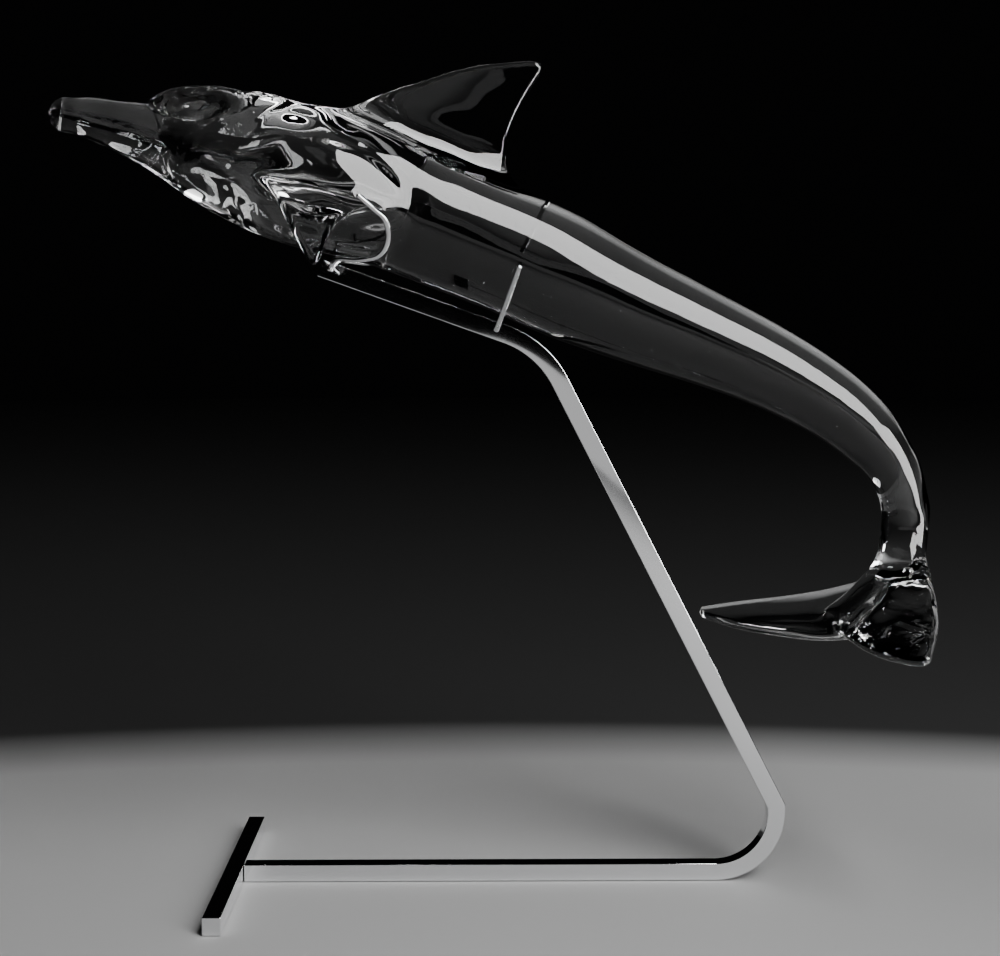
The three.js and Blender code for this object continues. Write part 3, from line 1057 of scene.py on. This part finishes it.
pairs = np.concatenate([skin_faces[:, [i, (i + 1) % 4]] for i in range(4)])
pairs = np.concatenate([pairs, pairs[:, ::-1]])
neighbours = np.bincount(pairs[:, 0], minlength=len(skin_points))
skin_points, slope = onto_skin(skin_points)
for _ in range(EVENING_ROUNDS):
    outward = slope / np.linalg.norm(slope, axis=1)[:, None]
    for _ in range(EVENING_PASSES):
        middle = np.stack([np.bincount(pairs[:, 0], skin_points[pairs[:, 1], axis], len(skin_points))
                           for axis in range(3)], axis=1) / neighbours[:, None]
        drift = middle - skin_points
        drift -= outward * (drift * outward).sum(axis=1)[:, None]
        skin_points = skin_points + EVENING_SHARE * drift
    skin_points, slope = onto_skin(skin_points)
print("largest miss in mm:", round(float(np.abs(field_at(skin_points)).max()), 3))

# %% [markdown]
# The exact slope of the field is also the exact direction that the skin faces,
# so the mesh is given those directions. Light then bends as if the skin had no
# facets at all.

# %% The dolphin's mesh
slope = slope_at(skin_points)
outward = slope / np.linalg.norm(slope, axis=1)[:, None]
facing = (from_arm(outward) / MM) - arm_origin
skin_points[:, 2] += seat_height
dolphin = make_piece("crystal_dolphin", from_arm(skin_points), skin_faces, crystal,
                     "dolphin")
dolphin.data.shade_smooth()
dolphin.data.normals_split_custom_set_from_vertices([tuple(n) for n in facing])
print("triangles:", 2 * len(skin_faces))

# %% [markdown]
# ## Sealed bubbles
# Air caught in hot glass stays as round bubbles. Most are specks along the
# body, and some larger ones lie in the thick edge of the near fluke. A bubble
# is a ball whose faces look inwards, so light leaves the glass there.

# %% Places of the bubbles
SPECKS = {"count": 46, "low": share((-430, -60, -70)), "high": share((430, 60, 70)),
          "sizes": (0.10, 0.32), "cover": 0.6}
FLUKE_BUBBLES = {"count": 18, "low": share((412, -104, -252)), "high": share((452, -52, -222)),
                 "sizes": (0.25, 0.8), "cover": 0.4}


def sample_inside(count, low, high, sizes, cover):
    """Seeded places in a box that lie in the glass, with cover over each ball."""
    found = []
    while len(found) < count:
        spot = chance.uniform(low, high)
        radius = chance.uniform(*sizes)
        if field_at(spot[None, :])[0] < -radius - cover:
            found.append((spot, radius))
    return found


bubbles = sample_inside(**SPECKS) + sample_inside(**FLUKE_BUBBLES)
print("bubbles:", len(bubbles), "the largest is", round(2 * max(r for _, r in bubbles), 2), "mm wide")

# %% Bubbles
SPECK_RADIUS = 0.4
MOST_STRETCH = 0.5

balls = bmesh.new()
for spot, radius in bubbles:
    rounds = 2 if radius < SPECK_RADIUS else 3
    made = bmesh.ops.create_icosphere(balls, subdivisions=rounds, radius=radius)["verts"]
    stretch = 1 + chance.uniform(0, MOST_STRETCH)
    for point in made:
        point.co = Vector((point.co.x * stretch, point.co.y, point.co.z)) + Vector(spot)
        point.co.z += seat_height
bmesh.ops.reverse_faces(balls, faces=balls.faces)
balls.verts.index_update()
points = from_arm([tuple(v.co) for v in balls.verts])
faces = [[v.index for v in face.verts] for face in balls.faces]
balls.free()
sealed = make_piece("sealed_bubbles", points, faces, crystal, None)
sealed.data.shade_smooth()

# %% [markdown]
# ## Floor and light
# The floor is plain and pale round the work and in front of it. Farther off, and
# behind, its colour is painted dark, as dark as the room: a painted shade where
# the light would fall off. In a bright room crystal looks like nothing. In a
# dark one its rims turn black and a soft lamp draws long streaks on it. The
# pale floor also gives the bar's front its even grey, as a mirror shows what
# lies in front of it. The floor lies a hair below the model's zero, so the
# bar's underside and the floor never fight over the same pixels.

# %% The floor
FLOOR_REACH = 6.0
FLOOR_SIDES = 96
FLOOR_LEVEL = -0.4 * MM
FLOOR_ROUGHNESS = 0.8
# The second colour is painted shade, the dark that falling light would give the floor far from the
# work.
PALE, PAINTED_SHADE = (0.26, 0.26, 0.26), (0.004, 0.004, 0.004)
PALE_END, PAINTED_SHADE_START = 0.68, 0.74
RAMP_REACH = 2.0
PALE_MIDDLE = (0.0, -1.1, 0.0)
PALE_SHARES = (0.9, 1.0, 1.0)

floor_material, tree, shader = new_material("floor_with_painted_shade", Roughness=FLOOR_ROUGHNESS)
place = node(tree, "ShaderNodeTexCoord", output="Object")
place = node(tree, "ShaderNodeVectorMath", {"operation": "SUBTRACT"}, {0: place, 1: PALE_MIDDLE})
place = node(tree, "ShaderNodeVectorMath", {"operation": "MULTIPLY"}, {0: place, 1: PALE_SHARES})
distance = node(tree, "ShaderNodeVectorMath", {"operation": "LENGTH"}, {0: place}, output="Value")
# The ramp paints shade onto the floor: pale near the work, painted dark farther off.
pale = node(tree, "ShaderNodeValToRGB", {"stops": [(PALE_END, PALE), (PAINTED_SHADE_START, PAINTED_SHADE)]},
            {"Fac": distance * (1 / RAMP_REACH)})
join(pale, shader, "Base Color")
bpy.ops.mesh.primitive_circle_add(vertices=FLOOR_SIDES, radius=FLOOR_REACH, fill_type="NGON")
floor = bpy.context.object
floor.name = "floor"
floor.location.z = FLOOR_LEVEL
floor.data.materials.append(floor_material)
floor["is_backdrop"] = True
print("pale floor in m:", 2 * PALE_END * RAMP_REACH, "deep")

# %% The room
ROOM_DARK = (0.0015, 0.0015, 0.0016, 1)

world = bpy.data.worlds.new("room")
bpy.context.scene.world = world
world.use_nodes = True
world.node_tree.nodes["Background"].inputs["Color"].default_value = ROOM_DARK

# %% [markdown]
# Three sheets of light stand round the work. Each is a mesh that glows, because
# a sheet can have the shape that its reflection needs. None of them is seen by
# the camera itself.

# %% A sheet of light
def glowing(name, power):
    """A material that only gives out light."""
    glow, tree, shader = new_material(name)
    tree.nodes.remove(shader)
    light = node(tree, "ShaderNodeEmission", inputs={"Strength": power})
    join(light, tree.nodes["Material Output"], "Surface")
    return glow


def studio_piece(name, points, faces, power, on_floor=True):
    """A glowing sheet that isn't part of the work. On_floor is whether it lights dull things."""
    mesh = bpy.data.meshes.new(name)
    mesh.from_pydata([tuple(p) for p in points], [], faces)
    mesh.materials.append(glowing(name, power))
    sheet = bpy.data.objects.new(name, mesh)
    sheet.visible_camera = False
    sheet.visible_diffuse = on_floor
    bpy.context.scene.collection.objects.link(sheet)
    sheet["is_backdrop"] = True
    print(name, "power:", power)


# %% [markdown]
# The lamp is one wide, curved soft box above and to the right of the camera.
# Its shape follows from the streak on the body: a round bar of glass shows a
# lamp as a band, and the band's edges say how far off the camera the lamp
# starts and ends. It goes from overhead round to the right, so that the band
# follows the tail as it turns down. The angles are in degrees. Those round the
# line of sight start at the right and go up, and for each of them the others
# say where the lamp starts and ends, counted from the side of the camera.

# %% The curved soft box
LAMP_MIDDLE = Vector((0.0, 0.0, 0.33))
LAMP_DISTANCE = 2.0
LAMP_ROUND = (4, 12, 35, 55, 70, 76)
LAMP_STARTS = (33, 31, 29, 32, 38, 45)
LAMP_ENDS = (54, 58, 62, 70, 78, 82)
LAMP_POWER = 15.0
LAMP_ROWS, LAMP_COLUMNS = 14, 24

points, faces = [], []
for step in np.linspace(0, 1, LAMP_ROWS):
    for turn in np.linspace(LAMP_ROUND[0], LAMP_ROUND[-1], LAMP_COLUMNS):
        start = np.interp(turn, LAMP_ROUND, LAMP_STARTS)
        end = np.interp(turn, LAMP_ROUND, LAMP_ENDS)
        polar = math.radians(start + (end - start) * step)
        round_at = math.radians(turn)
        way = Vector((math.sin(polar) * math.cos(round_at), -math.cos(polar),
                      math.sin(polar) * math.sin(round_at)))
        points.append(LAMP_MIDDLE + way * LAMP_DISTANCE)
for i in range(LAMP_ROWS - 1):
    for j in range(LAMP_COLUMNS - 1):
        a = i * LAMP_COLUMNS + j
        faces.append((a, a + 1, a + LAMP_COLUMNS + 1, a + LAMP_COLUMNS))
studio_piece("soft_box", points, faces, LAMP_POWER)

# %% [markdown]
# Where the tail turns down, its band shows what stands to the right of it. A
# small sheet of light stands close by on that side, and it only shows in the
# glass and the steel: it is too near the floor to light that too.

# %% The side light
SIDE_AT = 0.52
SIDE_NEAR_Y, SIDE_FAR_Y = -0.13, -0.48
SIDE_LOW_Z, SIDE_HIGH_Z = 0.19, 0.37
corners = [(SIDE_AT, SIDE_NEAR_Y, SIDE_LOW_Z), (SIDE_AT, SIDE_FAR_Y, SIDE_LOW_Z),
           (SIDE_AT, SIDE_FAR_Y, SIDE_HIGH_Z), (SIDE_AT, SIDE_NEAR_Y, SIDE_HIGH_Z)]
studio_piece("side_light", corners, [(0, 1, 2, 3)], LAMP_POWER, on_floor=False)

# %% [markdown]
# The top of the strut is a mirror that looks out just below the horizon, past
# the end of the pale floor, where its painted shade begins. A low white card
# stands there, so that the strut is as light at its top as at its foot.

# %% The white card
CARD_PLACE = -2.45
CARD_HALF_WIDTH = 1.8
CARD_HEIGHT = 0.235
CARD_POWER = 0.5
corners = [(-CARD_HALF_WIDTH, CARD_PLACE, 0), (CARD_HALF_WIDTH, CARD_PLACE, 0),
           (CARD_HALF_WIDTH, CARD_PLACE, CARD_HEIGHT), (-CARD_HALF_WIDTH, CARD_PLACE, CARD_HEIGHT)]
studio_piece("white_card", corners, [(0, 1, 2, 3)], CARD_POWER)

# %% Sizes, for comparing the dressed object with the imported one
dressed_low, dressed_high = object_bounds()
sizes = {
    "cad_box": [list(model_low), list(model_high)],
    "visual_box": [list(dressed_low), list(dressed_high)],
}
for name, (low, high) in sizes.items():
    print(name, [round(v / MM, 2) for v in (*low, *high)])
